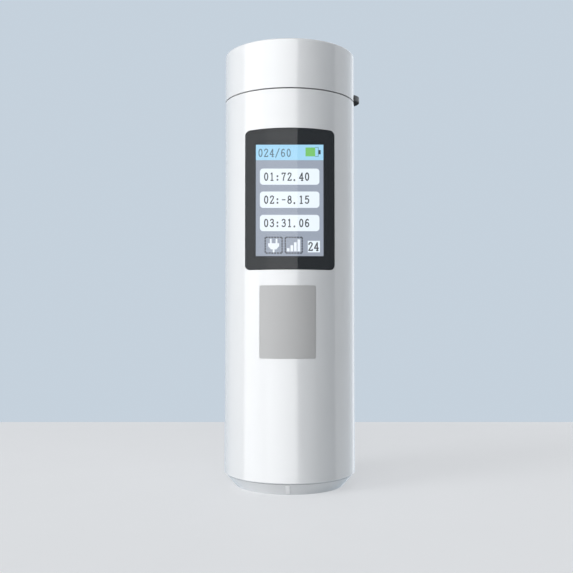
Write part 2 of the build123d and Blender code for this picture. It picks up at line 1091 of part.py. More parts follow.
lead_start = battery_bottom + battery_height
lead_depth = battery_front + battery_thickness / 2
with BuildPart() as battery_leads:
    for side in (-1, 1):
        across = side * lead_spacing / 2
        with BuildLine() as lead_path:
            FilletPolyline(
                (across, lead_depth, lead_start),
                (across, lead_depth, battery_connector_middle),
                (
                    across,
                    main_board_back + battery_connector_depth,
                    battery_connector_middle,
                ),
                radius=lead_bend,
            )
        with BuildSketch(Plane((across, lead_depth, lead_start), z_dir=(0, 0, 1))):
            Circle(lead_radius)
        sweep(path=lead_path.line)
write(battery_leads.part, "battery_leads")

# Top board, link and charging socket
with BuildPart() as top_board:
    tube(top_board_radius, 0, chassis_roof_top, top_board_top)
    for side in (-1, 1):
        with Locations((0, side * cap_screw_offset, chassis_roof_top)):
            Cylinder(
                post_radius + hole_gap,
                board_thickness,
                align=LOW,
                mode=Mode.SUBTRACT,
            )
write(top_board.part, "top_board")

with BuildPart() as board_link:
    with Locations((link_across, link_middle, link_bottom)):
        Box(link_width, link_depth, chassis_roof_top - link_bottom, align=LOW)
write(board_link.part, "board_link")

with BuildPart() as socket_shell:
    with BuildSketch(Plane.XY.offset(top_board_top)):
        RectangleRounded(socket_width, socket_depth, socket_corner)
        RectangleRounded(
            socket_width - 2 * socket_wall,
            socket_depth - 2 * socket_wall,
            socket_corner - socket_wall,
            mode=Mode.SUBTRACT,
        )
    extrude(amount=socket_top - top_board_top)
write(socket_shell.part, "socket_shell")

with BuildPart() as socket_core:
    with BuildSketch(Plane.XY.offset(top_board_top)):
        RectangleRounded(
            socket_width - 2 * socket_wall,
            socket_depth - 2 * socket_wall,
            socket_corner - socket_wall,
        )
    extrude(amount=socket_floor - top_board_top)
    with Locations((0, 0, socket_floor)):
        Box(tongue_width, tongue_depth, tongue_top - socket_floor, align=LOW)
write(socket_core.part, "socket_core")

# Key housing on the top board
slider_bottom = top_board_top + housing_floor + slider_gap
slider_plate_top = slider_bottom + slider_plate_thickness
housing_top = key_top + key_cover_gap
housing_width = slider_width + 2 * (slider_gap + housing_wall)
FRONT_EDGE = (Align.MAX, Align.CENTER)
BACK_EDGE = (Align.MIN, Align.CENTER)
with BuildPart() as jog_housing:
    with BuildSketch(pivot_plane.offset(top_board_top)):
        with Locations((-housing_front, 0)):
            Rectangle(housing_back - housing_front, housing_width, align=FRONT_EDGE)
    extrude(amount=housing_top - top_board_top)
    with BuildSketch(pivot_plane.offset(top_board_top + housing_floor)):
        with Locations((-housing_front, 0)):
            Rectangle(
                housing_back - housing_front - housing_wall,
                slider_width + 2 * slider_gap,
                align=FRONT_EDGE,
            )
    extrude(amount=housing_top - top_board_top, mode=Mode.SUBTRACT)
write(jog_housing.part, "jog_housing")

with BuildPart() as jog_cover:
    with BuildSketch(pivot_plane.offset(housing_top)):
        with Locations((-housing_front, 0)):
            Rectangle(housing_back - housing_front, housing_width, align=FRONT_EDGE)
    extrude(amount=key_cover_thickness)
write(jog_cover.part, "jog_cover")

with BuildPart() as jog_slider:
    with BuildSketch(pivot_plane.offset(slider_bottom)):
        with Locations((-slider_back, 0)):
            Rectangle(slider_back - slider_shoulder, slider_width, align=BACK_EDGE)
        with Locations((-slider_shoulder, 0)):
            Rectangle(slider_shoulder, slider_tongue_width, align=BACK_EDGE)
        Circle(slider_front)
    extrude(amount=slider_plate_thickness)
    with BuildSketch(pivot_plane.offset(slider_plate_top)):
        with Locations((-slider_back, 0)):
            Rectangle(slider_wall_thickness, slider_width, align=BACK_EDGE)
    extrude(amount=slider_wall_top - slider_plate_top)
    with BuildSketch(pivot_plane.offset(slider_plate_top)):
        Circle(key_pin_radius)
        with Locations((centring_post_radius + spring_wire_radius - centring_spring_back, 0)):
            Circle(centring_post_radius)
    extrude(amount=key_top + assembly_gap - slider_plate_top)
write(jog_slider.part, "jog_slider")

# Ribbed key
with BuildPart() as jog_key:
    with BuildSketch(pivot_plane.offset(key_bottom)):
        Circle(key_disc_radius)
    extrude(amount=key_thickness)
    chamfer(jog_key.edges().filter_by(GeomType.CIRCLE), key_edge)
    with BuildSketch(pivot_plane.offset(key_bottom)):
        with BuildLine():
            Polyline(
                (0, 0),
                (
                    2 * key_disc_radius * cos(radians(key_sector_angle)),
                    2 * key_disc_radius * sin(radians(key_sector_angle)),
                ),
                (-2 * key_disc_radius, 2 * key_disc_radius),
                (-2 * key_disc_radius, -2 * key_disc_radius),
                (
                    2 * key_disc_radius * cos(radians(key_sector_angle)),
                    -2 * key_disc_radius * sin(radians(key_sector_angle)),
                ),
                close=True,
            )
        make_face()
    extrude(amount=key_thickness, mode=Mode.SUBTRACT)
    with BuildSketch(pivot_plane.offset(key_bottom)):
        Circle(key_hub_radius)
        with Locations((-key_tail_length, 0)):
            Rectangle(key_tail_length, key_tail_width, align=BACK_EDGE)
    extrude(amount=key_thickness)
    with BuildSketch(pivot_plane.offset(key_bottom)):
        Circle(key_pin_radius + key_pin_gap)
        for index in range(key_rib_count):
            rib_angle = (index - (key_rib_count - 1) / 2) * key_rib_pitch
            with Locations(
                (
                    key_disc_radius * cos(radians(rib_angle)),
                    key_disc_radius * sin(radians(rib_angle)),
                )
            ):
                Circle(key_rib_radius)
    extrude(amount=key_thickness, mode=Mode.SUBTRACT)
write(jog_key.part, "jog_key")

# Springs of the key
spring_height = (slider_plate_top + slider_wall_top) / 2
spring_front = key_pivot_radius - slider_back
spring_back = key_pivot_radius - housing_back + housing_wall
spring_length = spring_front - spring_back - 2 * spring_wire_radius
spring_spot = pivot_plane.from_local_coords(
    (-housing_back + housing_wall + spring_wire_radius, 0, spring_height)
)
with BuildPart() as jog_return_spring:
    with BuildLine() as return_path:
        Helix(
            pitch=spring_length / return_spring_turns,
            height=spring_length,
            radius=return_spring_radius,
            center=spring_spot,
            direction=pivot_plane.x_dir,
        )
    with BuildSketch(Plane(origin=return_path.line @ 0, z_dir=return_path.line % 0)):
        Circle(spring_wire_radius)
    sweep(path=return_path.line, is_frenet=True)
write(jog_return_spring.part, "jog_return_spring")

with BuildPart() as jog_centring_spring:
    half_width = centring_spring_width / 2
    with BuildLine(pivot_plane.offset(key_bottom + key_thickness / 2)) as centring_path:
        near_leg = Line(
            (-centring_spring_front, -half_width),
            (-centring_spring_back + half_width, -half_width),
        )
        bend = ThreePointArc(
            near_leg @ 1,
            (-centring_spring_back, 0),
            (-centring_spring_back + half_width, half_width),
        )
        Line(bend @ 1, (-centring_spring_front, half_width))
    with BuildSketch(Plane(origin=centring_path.line @ 0, z_dir=centring_path.line % 0)):
        Circle(spring_wire_radius)
    sweep(path=centring_path.line)
write(jog_centring_spring.part, "jog_centring_spring")
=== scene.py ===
"""Looks of the cylindrical colorimeter: materials, the display picture, light, floor and camera."""

import math

import bmesh
import bpy
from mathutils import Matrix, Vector


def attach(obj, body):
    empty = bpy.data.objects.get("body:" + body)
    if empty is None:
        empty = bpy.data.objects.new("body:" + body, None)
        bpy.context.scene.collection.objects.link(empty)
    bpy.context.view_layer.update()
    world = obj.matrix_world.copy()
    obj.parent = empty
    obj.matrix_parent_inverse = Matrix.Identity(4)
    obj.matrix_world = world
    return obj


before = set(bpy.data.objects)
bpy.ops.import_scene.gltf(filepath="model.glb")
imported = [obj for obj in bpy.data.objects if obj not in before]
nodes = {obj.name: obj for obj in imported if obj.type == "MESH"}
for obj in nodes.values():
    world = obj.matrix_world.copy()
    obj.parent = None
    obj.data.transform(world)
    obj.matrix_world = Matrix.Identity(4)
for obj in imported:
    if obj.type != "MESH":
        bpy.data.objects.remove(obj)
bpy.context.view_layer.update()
scene = bpy.context.scene
MM = 0.001

# Places on the CAD nodes where a second material goes, from the CAD's own sizes. The ring's
# conical foot widens by 2.35 mm over 2.7 mm of height
BODY_RADIUS = 15.5 * MM
SEAM_HEIGHT = 90.7 * MM
JOINT_REACH = 0.3 * MM
CONE_FOOT_RADIUS = 12.8 * MM
CONE_SLOPE = 2.35 / 2.7
CONE_TOP = 2.6 * MM
MARK_RISE = 0.05 * MM

# Limits of a face's normal: less along the radius than OUTWARD it is a side face, within
# UPRIGHT of level it is a wall, and under DOWNWARD it is an underside
OUTWARD = 0.985
UPRIGHT = 0.5
DOWNWARD = -0.3

# Grain of the surfaces: cells per metre, and the part of a noise's range that is spread out
BLOTCHES = 90
FINE_CELLS = 9000
BRUSH_LINES, BRUSH_DETAIL = 2500, 3
BOARD_TRACKS, BOARD_CELLS = 700, 3000
PANE_BLOTCHES, PANE_CELLS = 60, 4000
SCREEN_ROWS, SCREEN_CELLS = 1500, 5000
FLOOR_CELLS = 40
NOISE_LOW, NOISE_HIGH = 0.3, 0.7
NOISE_DETAIL = 4.0
NOISE_ROUGHNESS = 0.55

# Smoothing of the CAD nodes, which keeps their crisp edges
WELD_GAP = 0.0005 * MM
EDGE_ANGLE = math.radians(28)
NORMAL_WEIGHT = 80


def tree_of(name):
    """A new material, its node tree and its Principled shader."""
    mat = bpy.data.materials.new(name)
    mat.use_nodes = True
    tree = mat.node_tree
    shader = tree.nodes["Principled BSDF"]
    return mat, tree, shader


def object_coords(tree):
    """Object coordinates, in metres, so that grain keeps its real size."""
    return tree.nodes.new("ShaderNodeTexCoord").outputs["Object"]


def grain(tree, cells):
    """A noise texture over the object, with a number of cells per metre."""
    noise = tree.nodes.new("ShaderNodeTexNoise")
    noise.inputs["Scale"].default_value = cells
    noise.inputs["Detail"].default_value = NOISE_DETAIL
    noise.inputs["Roughness"].default_value = NOISE_ROUGHNESS
    tree.links.new(object_coords(tree), noise.inputs["Vector"])
    return noise.outputs["Fac"]


def ramp(tree, source, low, high):
    """Spread a grey source over a range from low to high colour."""
    node = tree.nodes.new("ShaderNodeValToRGB")
    node.color_ramp.elements[0].position = NOISE_LOW
    node.color_ramp.elements[1].position = NOISE_HIGH
    node.color_ramp.elements[0].color = (*low, 1)
    node.color_ramp.elements[1].color = (*high, 1)
    tree.links.new(source, node.inputs["Fac"])
    return node.outputs["Color"]


def spread(tree, source, low, high):
    """Map a grey source to a range of plain numbers."""
    node = tree.nodes.new("ShaderNodeMapRange")
    node.inputs["From Min"].default_value = NOISE_LOW
    node.inputs["From Max"].default_value = NOISE_HIGH
    node.inputs["To Min"].default_value = low
    node.inputs["To Max"].default_value = high
    tree.links.new(source, node.inputs["Value"])
    return node.outputs["Result"]


def bump(tree, shader, source, strength, distance):
    """Raise the surface a little by a grey source."""
    node = tree.nodes.new("ShaderNodeBump")
    node.inputs["Strength"].default_value = strength
    node.inputs["Distance"].default_value = distance
    tree.links.new(source, node.inputs["Height"])
    tree.links.new(node.outputs["Normal"], shader.inputs["Normal"])


def shade(colour, factor):
    """The colour made lighter or darker by a factor."""
    return tuple(min(1.0, c * factor) for c in colour)


def moulded(name, colour, rough=(0.3, 0.36), vary=0.03, cells=FINE_CELLS, depth=0.000004,
            metal=0.0, ior=1.5, coat=0.0, coat_ior=1.5, coat_rough=0.05):
    """A moulded or machined surface with a fine grain, slight mottling and uneven gloss."""
    mat, tree, shader = tree_of(name)
    blotch = grain(tree, BLOTCHES)
    fine = grain(tree, cells)
    tree.links.new(
        ramp(tree, blotch, shade(colour, 1 - vary), shade(colour, 1 + vary)),
        shader.inputs["Base Color"],
    )
    tree.links.new(spread(tree, fine, *rough), shader.inputs["Roughness"])
    bump(tree, shader, fine, strength=0.35, distance=depth)
    shader.inputs["Metallic"].default_value = metal
    shader.inputs["IOR"].default_value = ior
    shader.inputs["Coat Weight"].default_value = coat
    shader.inputs["Coat IOR"].default_value = coat_ior
    shader.inputs["Coat Roughness"].default_value = coat_rough
    return mat


def brushed(name, colour, along, rough=(0.25, 0.42)):
    """Metal with fine lines along one axis."""
    mat, tree, shader = tree_of(name)
    darker, lighter = 0.93, 1.05
    stretch = tree.nodes.new("ShaderNodeMapping")
    stretch.inputs["Scale"].default_value = along
    tree.links.new(object_coords(tree), stretch.inputs["Vector"])
    lines = tree.nodes.new("ShaderNodeTexNoise")
    lines.inputs["Scale"].default_value = BRUSH_LINES
    lines.inputs["Detail"].default_value = BRUSH_DETAIL
    tree.links.new(stretch.outputs["Vector"], lines.inputs["Vector"])
    tree.links.new(
        ramp(tree, lines.outputs["Fac"], shade(colour, darker), shade(colour, lighter)),
        shader.inputs["Base Color"],
    )
    tree.links.new(
        spread(tree, lines.outputs["Fac"], *rough), shader.inputs["Roughness"]
    )
    bump(tree, shader, lines.outputs["Fac"], strength=0.2, distance=0.000003)
    shader.inputs["Metallic"].default_value = 1.0
    return mat


def circuit(name):
    """Green solder mask with copper tracks showing through."""
    mat, tree, shader = tree_of(name)
    tracks = tree.nodes.new("ShaderNodeTexBrick")
    tracks.inputs["Scale"].default_value = BOARD_TRACKS
    tracks.inputs["Color1"].default_value = (0.012, 0.13, 0.05, 1)
    tracks.inputs["Color2"].default_value = (0.010, 0.11, 0.045, 1)
    tracks.inputs["Mortar"].default_value = (0.03, 0.24, 0.09, 1)
    tracks.inputs["Mortar Size"].default_value = 0.03
    tree.links.new(object_coords(tree), tracks.inputs["Vector"])
    tree.links.new(tracks.outputs["Color"], shader.inputs["Base Color"])
    rough = spread(tree, grain(tree, BOARD_CELLS), low=0.3, high=0.45)
    tree.links.new(rough, shader.inputs["Roughness"])
    bump(tree, shader, tracks.outputs["Fac"], strength=0.3, distance=0.00001)
    return mat


def see_through(name, tint, gloss_rough, ior, vary=0.015, uneven=0.2):
    """Clear pane: light passes straight through, and the outside mirrors more at a low angle.

    The mirrored share is Schlick's: it rises from its head-on value with the fifth power of
    the facing.
    """
    mat = bpy.data.materials.new(name)
    mat.use_nodes = True
    tree = mat.node_tree
    tree.nodes.remove(tree.nodes["Principled BSDF"])
    clear = tree.nodes.new("ShaderNodeBsdfTransparent")
    colours = ramp(tree, grain(tree, PANE_BLOTCHES), shade(tint, 1 - vary), tint)
    tree.links.new(colours, clear.inputs["Color"])
    gloss = tree.nodes.new("ShaderNodeBsdfGlossy")
    gloss.inputs["Color"].default_value = (1, 1, 1, 1)
    low, high = gloss_rough * (1 - uneven), gloss_rough * (1 + uneven)
    rough = spread(tree, grain(tree, PANE_CELLS), low, high)
    tree.links.new(rough, gloss.inputs["Roughness"])
    head_on = ((ior - 1) / (ior + 1)) ** 2
    angle = tree.nodes.new("ShaderNodeLayerWeight")
    steep = tree.nodes.new("ShaderNodeMath")
    steep.operation = "POWER"
    schlick_power = 5
    steep.inputs[1].default_value = schlick_power
    tree.links.new(angle.outputs["Facing"], steep.inputs[0])
    share = tree.nodes.new("ShaderNodeMath")
    share.operation = "MULTIPLY_ADD"
    share.inputs[1].default_value = 1 - head_on
    share.inputs[2].default_value = head_on
    tree.links.new(steep.outputs["Value"], share.inputs[0])
    mix = tree.nodes.new("ShaderNodeMixShader")
    tree.links.new(share.outputs["Value"], mix.inputs["Fac"])
    tree.links.new(clear.outputs["BSDF"], mix.inputs[1])
    tree.links.new(gloss.outputs["BSDF"], mix.inputs[2])
    sides = tree.nodes.new("ShaderNodeNewGeometry")
    pane = tree.nodes.new("ShaderNodeMixShader")
    tree.links.new(sides.outputs["Backfacing"], pane.inputs["Fac"])
    tree.links.new(mix.outputs["Shader"], pane.inputs[1])
    tree.links.new(clear.outputs["BSDF"], pane.inputs[2])
    tree.links.new(pane.outputs["Shader"], tree.nodes["Material Output"].inputs["Surface"])
    return mat


def lit(name, colour, strength=1.13, vary=0.02):
    """A lit display colour with faint rows of picture cells."""
    mat, tree, shader = tree_of(name)
    rows = tree.nodes.new("ShaderNodeTexWave")
    rows.bands_direction = "Z"
    rows.inputs["Scale"].default_value = SCREEN_ROWS
    tree.links.new(object_coords(tree), rows.inputs["Vector"])
    colours = ramp(
        tree, rows.outputs["Fac"], shade(colour, 1 - vary), shade(colour, 1 + vary)
    )
    shader.inputs["Base Color"].default_value = (0.01, 0.01, 0.01, 1)
    tree.links.new(colours, shader.inputs["Emission Color"])
    shader.inputs["Emission Strength"].default_value = strength
    rough = spread(tree, grain(tree, SCREEN_CELLS), low=0.5, high=0.6)
    tree.links.new(rough, shader.inputs["Roughness"])
    return mat


def srgb(r, g, b):
    """Linear colour from 8-bit display values."""
    def linear(v):
        v /= 255
        return v / 12.92 if v <= 0.04045 else ((v + 0.055) / 1.055) ** 2.4
    return (linear(r), linear(g), linear(b))


WHITE = (0.80, 0.805, 0.81)
white_shell = moulded("white_shell", WHITE, rough=(0.20, 0.25), vary=0.006,
                      cells=7000, depth=0.000002, ior=1.6, coat=1.0, coat_ior=1.8,
                      coat_rough=0.12)
ring_grey = moulded("ring_grey", (0.80, 0.795, 0.79), rough=(0.28, 0.34), vary=0.02,
                    cells=9000, depth=0.000003, coat=1.0, coat_ior=1.8, coat_rough=0.14)
# White for the ring's index marks, partly their paint and partly a painted highlight
index_white_and_highlight = moulded("index_white_and_highlight", (0.95, 0.95, 0.95), rough=(0.3, 0.36), vary=0.01)
# Dark grey that paints shade onto the back wall of the seam groove
joint_painted_shade = moulded("joint_painted_shade", (0.14, 0.14, 0.142), rough=(0.6, 0.7), vary=0.1, ior=1.2)
label_grey = moulded("label_grey", (0.50, 0.50, 0.50), rough=(0.45, 0.55), vary=0.012,
                     cells=12000, depth=0.000003)
black_plastic = moulded("black_plastic", (0.012, 0.012, 0.013), rough=(0.45, 0.6),
                        vary=0.15, depth=0.000008)
key_black = moulded("key_black", (0.018, 0.0175, 0.017), rough=(0.25, 0.35), vary=0.12,
                    depth=0.000004, coat=1.0, coat_ior=1.6, coat_rough=0.18)
# Rougher black for the key's underside; its darker colour is painted shade
key_painted_shade = moulded("key_painted_shade", (0.006, 0.006, 0.006), rough=(0.6, 0.7), vary=0.12, ior=1.15)
mask_black = moulded("mask_black", (0.004, 0.004, 0.0042), rough=(0.5, 0.6), vary=0.1, ior=1.1)
panel_black = moulded("panel_black", (0.002, 0.002, 0.0022), rough=(0.35, 0.4), vary=0.1,
                      ior=1.1)
rubber = moulded("rubber", (0.015, 0.015, 0.015), rough=(0.7, 0.85), vary=0.2,
                 depth=0.00001)
foam = moulded("foam", (0.12, 0.12, 0.125), rough=(0.85, 0.95), vary=0.25, cells=4000,
               depth=0.00006)
amber_film = moulded("amber_film", (0.42, 0.17, 0.03), rough=(0.25, 0.35), vary=0.08)
cream_plastic = moulded("cream_plastic", (0.72, 0.68, 0.56), rough=(0.35, 0.45), vary=0.03)
chip_black = moulded("chip_black", (0.02, 0.02, 0.022), rough=(0.5, 0.65), vary=0.2)
led_resin = moulded("led_resin", (0.8, 0.74, 0.35), rough=(0.2, 0.3), vary=0.06)
cell_wrap = moulded("cell_wrap", (0.55, 0.56, 0.58), rough=(0.25, 0.4), vary=0.06,
                    metal=0.8)
lead_red = moulded("lead_red", (0.45, 0.015, 0.012), rough=(0.35, 0.5), vary=0.1)
steel = brushed("steel", (0.62, 0.62, 0.63), (1, 1, 0.05))
socket_steel = brushed("socket_steel", (0.66, 0.66, 0.67), (1, 1, 0.03))
green_board = circuit("green_board")
window_pane = see_through("window_pane", (0.94, 0.945, 0.95), 0.02, 1.5)
port_pane = see_through("port_pane", (0.96, 0.98, 0.97), 0.02, 1.5)


def pick_faces(obj, mat, picked):
    """A second material on the faces that a test picks."""
    obj.data.materials.append(mat)
    for face in obj.data.polygons:
        if picked(face):
            face.material_index = 1


def blacken_edges(pane):
    """Black, flat-shaded side faces on the curved pane, so its faces keep their true bend."""
    def side(face):
        out = Vector((face.center.x, face.center.y, 0)).normalized()
        return abs(face.normal.dot(out)) < OUTWARD

    pick_faces(pane, mask_black, side)
    for face in pane.data.polygons:
        if face.material_index == 1:
            face.use_smooth = False


def paint_joint_shade(shell):
    """Painted shade: dark grey on the back wall of the fine joint between the sleeve and the cap, to
    darken the seam line.
    """
    def wall(face):
        depth = BODY_RADIUS - math.hypot(face.center.x, face.center.y)
        height = abs(face.center.z - SEAM_HEIGHT)
        return abs(face.normal.z) < UPRIGHT and depth > JOINT_REACH and height < JOINT_REACH

    pick_faces(shell, joint_painted_shade, wall)


def whiten_marks_with_highlight(ring):
    """White on the four raised index marks of the conical foot. The white is partly the marks' own
    paint and partly a painted highlight, a light band down the ring's front.
    """
    def mark(face):
        cone = CONE_FOOT_RADIUS + CONE_SLOPE * face.center.z
        out = math.hypot(face.center.x, face.center.y)
        return face.center.z < CONE_TOP and out > cone + MARK_RISE

    pick_faces(ring, index_white_and_highlight, mark)


def paint_key_underside_shade(key):
    """Rougher, darker black under the key, which keeps its gloss on the ribs. The roughness is real;
    the darker colour is painted shade on the underside.
    """
    pick_faces(key, key_painted_shade, lambda face: face.normal.z < DOWNWARD)


looks = {
    white_shell: ["body_sleeve", "top_cap"],
    ring_grey: ["measuring_ring"],
    label_grey: ["front_label"],
    window_pane: ["display_window"],
    port_pane: ["port_glass", "collecting_lens"],
    mask_black: ["window_mask"],
    panel_black: ["display_panel"],
    black_plastic: ["display_frame", "inner_chassis", "optics_block", "detector_tube",
                    "jog_housing", "flex_connectors", "board_link", "socket_core"],
    key_black: ["jog_key", "jog_slider"],
    rubber: ["ring_seal"],
    foam: ["battery_pad"],
    amber_film: ["display_flex", "optics_flex"],
    cream_plastic: ["battery_connector"],
    chip_black: ["colour_sensor", "processor"],
    led_resin: ["measuring_leds"],
    cell_wrap: ["battery_cell"],
    lead_red: ["battery_leads"],
    steel: ["cap_screws", "ring_screws", "chassis_screws", "board_screws",
            "jog_return_spring", "jog_centring_spring", "jog_cover", "display_backlight",
            "radio_module"],
    socket_steel: ["socket_shell"],
    green_board: ["led_board", "sensor_board", "main_board", "top_board"],
}
second_materials = {
    "display_window": blacken_edges,
    # The sleeve and the cap get painted shade on the back wall of their seam
    "body_sleeve": paint_joint_shade,
    "top_cap": paint_joint_shade,
    # The ring's index marks get white that is partly a painted highlight
    "measuring_ring": whiten_marks_with_highlight,
    # The key's underside gets painted shade
    "jog_key": paint_key_underside_shade,
}


def dress(name, mat):
    """A CAD node in its material, with smooth faces. All but the window get crisp edges."""
    obj = nodes[name]
    obj.data.materials.clear()
    obj.data.materials.append(mat)
    for face in obj.data.polygons:
        face.material_index = 0
        face.use_smooth = True
    weld = obj.modifiers.new("weld", "WELD")
    weld.merge_threshold = WELD_GAP
    if name in second_materials:
        second_materials[name](obj)
    if name == "display_window":
        return
    split = obj.modifiers.new("split", "EDGE_SPLIT")
    split.split_angle = EDGE_ANGLE
    normals = obj.modifiers.new("normals", "WEIGHTED_NORMAL")
    normals.keep_sharp = True
    normals.weight = NORMAL_WEIGHT


for mat, names in looks.items():
    for name in names:
        dress(name, mat)

# Display picture, in millimetres from the body's axis and foot. Boxes are left, right, foot, top
SCREEN_FRONT = -11.9
LAYER = 0.02
SCREEN = (-7.70, 7.60, 53.34, 78.64)
HEADER_FOOT = 75.12
HEADER_TEXT = "024/60"
HEADER_TYPE = {"left": -7.15, "foot": 75.92, "height": 1.72, "pitch": 1.28, "width": 0.20}
FIELD = (-6.78, 6.69)
FIELD_ROWS = ((69.52, 73.20), (64.27, 67.98), (58.98, 62.68))
FIELD_CORNER = 0.72
FIELD_TEXT = ("01:72.40", "02:-8.15", "03:31.06")
FIELD_TYPE = {"left": -5.85, "height": 1.70, "pitch": 1.324, "width": 0.25}
COUNTER = (4.05, 6.80, 54.18, 56.80)
COUNTER_TEXT = "24"
COUNTER_TYPE = {"left": 4.17, "foot": 54.60, "height": 1.80, "pitch": 1.30, "width": 0.27}
BATTERY_LEVEL = (3.55, 5.75, 75.98, 78.00)
BATTERY_OUTLINE = ((5.75, 78.02), (6.45, 78.02), (6.45, 75.96), (5.75, 75.96))
BATTERY_LINE = 0.13
BATTERY_NUB = (6.48, 6.98, 76.45, 77.42)
ICON_BOXES = ((-5.58, -1.76), (-1.03, 2.79))
ICON_ROWS = (54.02, 57.60)
DASHES = 6
DASH_START, DASH_FILL = 0.35, 0.40
DASH_WIDTH = 0.29
PLUG_X, PLUG_Z = -3.67, 55.75
PLUG_BODY = ((-1.25, 0.50), (1.25, 0.50), (1.25, -0.15), (0.60, -0.90), (-0.60, -0.90),
             (-1.25, -0.15))
PLUG_PINS, PIN_HALF, PIN_TOP = (-0.65, 0.65), 0.20, 1.50
PLUG_CORD, CORD_WIDTH = ((0, -0.90), (0, -1.45)), 0.40
BARS = 4
BAR_LEFT, BAR_PITCH, BAR_WIDTH = -0.67, 0.80, 0.60
BAR_FOOT, BAR_TOP, BAR_STEP = 54.40, 55.15, 0.66
GLYPH_GRID = 7
POINT_WIDTH = 1.7
STROKE_END = 0.7


def flat_piece(name, mat, layer, draw):
    """A flat piece of the display picture on its own layer in front of the panel."""
    mesh = bpy.data.meshes.new(name)
    bm = bmesh.new()
    draw(bm, (SCREEN_FRONT - LAYER * layer) * MM)
    bmesh.ops.recalc_face_normals(bm, faces=bm.faces)
    for face in bm.faces:
        if face.normal.y > 0:
            face.normal_flip()
    bm.to_mesh(mesh)
    bm.free()
    obj = bpy.data.objects.new(name, mesh)
    scene.collection.objects.link(obj)
    mesh.materials.append(mat)
    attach(obj, "body")


def polygon(bm, points, y):
    """One flat face through points in the picture."""
    bm.faces.new([bm.verts.new((x * MM, y, z * MM)) for x, z in points])


def rectangle(bm, y, x0, x1, z0, z1):
    """A plain box."""
    polygon(bm, [(x0, z0), (x1, z0), (x1, z1), (x0, z1)], y)


def rounded(bm, y, x0, x1, z0, z1, radius, steps=8):
    """A box with round corners."""
    points = []
    corners = ((x1 - radius, z0 + radius, -90), (x1 - radius, z1 - radius, 0),
               (x0 + radius, z1 - radius, 90), (x0 + radius, z0 + radius, 180))
    for cx, cz, start in corners:
        for k in range(steps + 1):
            a = math.radians(start + 90 * k / steps)
            points.append((cx + radius * math.cos(a), cz + radius * math.sin(a)))
    polygon(bm, points, y)


def stroke(bm, y, points, width):
    """A line of even width through the points."""
    half = width / 2
    for (ax, az), (bx, bz) in zip(points, points[1:]):
        d = Vector((bx - ax, bz - az)).normalized()
        n = Vector((-d.y, d.x)) * half
        d = d * half * STROKE_END
        polygon(bm, [(ax - d.x + n.x, az - d.y + n.y), (ax - d.x - n.x, az - d.y - n.y),
                     (bx + d.x - n.x, bz + d.y - n.y), (bx + d.x + n.x, bz + d.y + n.y)], y)


def oval(cx, cz, rx, rz, steps=18):
    """The points of a closed oval."""
    turns = [math.tau * k / steps for k in range(steps + 1)]
    return [(cx + rx * math.cos(a), cz + rz * math.sin(a)) for a in turns]


# Strokes of the figures and signs, on a grid that is GLYPH_GRID high
GLYPHS = {
    "0": [oval(2, 3.5, 1.45, 3.4)],
    "1": [[(1.0, 6.1), (2, 6.9), (2, 0)], [(1.0, 0), (3.0, 0)]],
    "2": [[(0.6, 5.3), (0.8, 6.3), (1.5, 6.9), (2.5, 6.9), (3.3, 6.2), (3.3, 5.2),
           (2.8, 4.0), (1.6, 2.1), (0.5, 0.1), (3.4, 0.1), (3.5, 1.0)]],
    "3": [[(0.6, 5.8), (1.2, 6.8), (2.3, 6.9), (3.2, 6.2), (3.1, 4.7), (2.3, 3.8),
           (1.6, 3.7)],
          [(2.3, 3.8), (3.3, 3.1), (3.5, 1.8), (3.0, 0.6), (2.0, 0.1), (1.0, 0.3),
           (0.5, 1.1)]],
    "4": [[(2.8, 0), (2.8, 6.9), (0.4, 2.0), (3.8, 2.0)], [(2.1, 0), (3.5, 0)]],
    "5": [[(3.4, 6.8), (0.9, 6.8), (0.7, 3.8), (1.5, 4.3), (2.5, 4.3), (3.3, 3.5),
           (3.5, 2.2), (3.1, 0.9), (2.1, 0.1), (1.1, 0.3), (0.5, 1.1)]],
    "6": [[(3.2, 6.2), (2.4, 6.9), (1.5, 6.5), (0.8, 5.2), (0.5, 3.2), (0.7, 1.2),
           (1.4, 0.2), (2.5, 0.2), (3.3, 1.0), (3.4, 2.4), (2.8, 3.6), (1.7, 3.9),
           (0.7, 3.0)]],
    "7": [[(0.5, 5.8), (0.6, 6.8), (3.5, 6.8), (2.4, 4.0), (1.8, 2.0), (1.7, 0)]],
    "8": [oval(2, 5.25, 1.2, 1.6), oval(2, 1.8, 1.5, 1.75)],
    "-": [[(0.7, 3.4), (3.3, 3.4)]],
    ".": [[(0.9, 0.25), (1.15, 0.25)]],
    ":": [[(1.5, 0.6), (1.75, 0.6)], [(1.5, 3.9), (1.75, 3.9)]],
    "/": [[(0.4, -0.5), (3.6, 7.4)]],
}


def write_line(bm, y, text, left, foot, height, pitch, width):
    """Figures in even columns, from the left end of a line. Points are drawn thicker."""
    unit = height / GLYPH_GRID
    for k, mark in enumerate(text):
        start = left + k * pitch
        thick = width * POINT_WIDTH if mark in ".:" else width
        for line in GLYPHS[mark]:
            stroke(bm, y, [(start + px * unit, foot + pz * unit) for px, pz in line], thick)


def draw_base(bm, y):
    rectangle(bm, y, *SCREEN)


def draw_header(bm, y):
    rectangle(bm, y, SCREEN[0], SCREEN[1], HEADER_FOOT, SCREEN[3])


def draw_fields(bm, y):
    for low, high in FIELD_ROWS:
        rounded(bm, y, *FIELD, low, high, FIELD_CORNER)
    rectangle(bm, y, *COUNTER)


def draw_header_text(bm, y):
    write_line(bm, y, HEADER_TEXT, **HEADER_TYPE)


def draw_field_text(bm, y):
    for (low, high), text in zip(FIELD_ROWS, FIELD_TEXT):
        foot = (low + high - FIELD_TYPE["height"]) / 2
        write_line(bm, y, text, foot=foot, **FIELD_TYPE)
    write_line(bm, y, COUNTER_TEXT, **COUNTER_TYPE)


def draw_battery_level(bm, y):
    rectangle(bm, y, *BATTERY_LEVEL)


